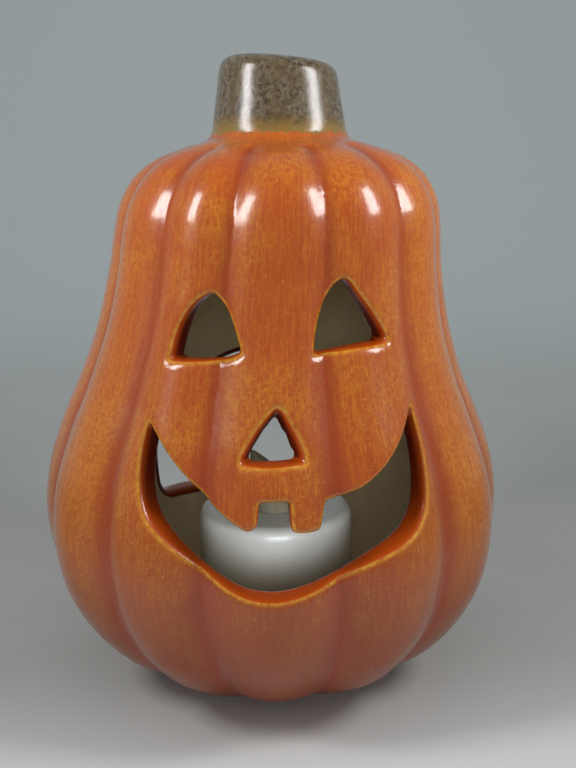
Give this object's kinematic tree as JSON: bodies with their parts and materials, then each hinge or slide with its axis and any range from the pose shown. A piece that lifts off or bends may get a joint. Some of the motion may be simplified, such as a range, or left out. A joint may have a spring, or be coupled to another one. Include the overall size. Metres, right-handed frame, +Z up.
{
  "type": "ceramic pumpkin figure",
  "caption": "Tall ribbed ceramic jack-o'-lantern with carved face, stem and arched back opening, standing over a flameless votive candle with a bent flame, battery cover and slide switch.",
  "frame": {"origin": "on the table, under the middle of the shell and on the candle's axis", "axes": "+Z up, the carved face looks along -Y, +X to the viewer's right when facing it"},
  "size_m": [0.1099, 0.1082, 0.1446],
  "materials": {
    "orange_glaze": "glossy brushed orange glaze over ochre",
    "candle_plastic": "satin off-white",
    "flame_plastic": "frosted pale amber",
    "led_epoxy": "clear epoxy, warm tint",
    "board_laminate": "green solder mask",
    "insert_plastic": "moulded satin",
    "cover_plastic": "moulded satin",
    "screw_steel": "zinc-plated",
    "cell_nickel": "nickel-plated can",
    "leaf_metal": "plated spring leaf",
    "tab_metal": "tinned tab",
    "switch_steel": "stamped can",
    "knob_plastic": "black, satin"
  },
  "bodies": {
    "shell": {"pumpkin_shell": "orange_glaze"},
    "candle": {"candle_body": "candle_plastic", "flame": "flame_plastic", "led": "led_epoxy", "circuit_board": "board_laminate", "base_plate": "insert_plastic", "battery_cover": "cover_plastic", "cover_screw": "screw_steel", "coin_cell": "cell_nickel", "contact_negative": "leaf_metal", "contact_positive": "tab_metal", "switch_body": "switch_steel"},
    "switch": {"switch_knob": "knob_plastic"}
  },
  "joints": [
    {"name": "candle_lift", "type": "slide", "parent": "shell", "child": "candle", "axis": [0, 0, 1], "range_m": [0, 0.025]},
    {"name": "switch_slide", "type": "slide", "parent": "candle", "child": "switch", "axis": [1, 0, 0], "range_m": [0, 0.002]}
  ]
}
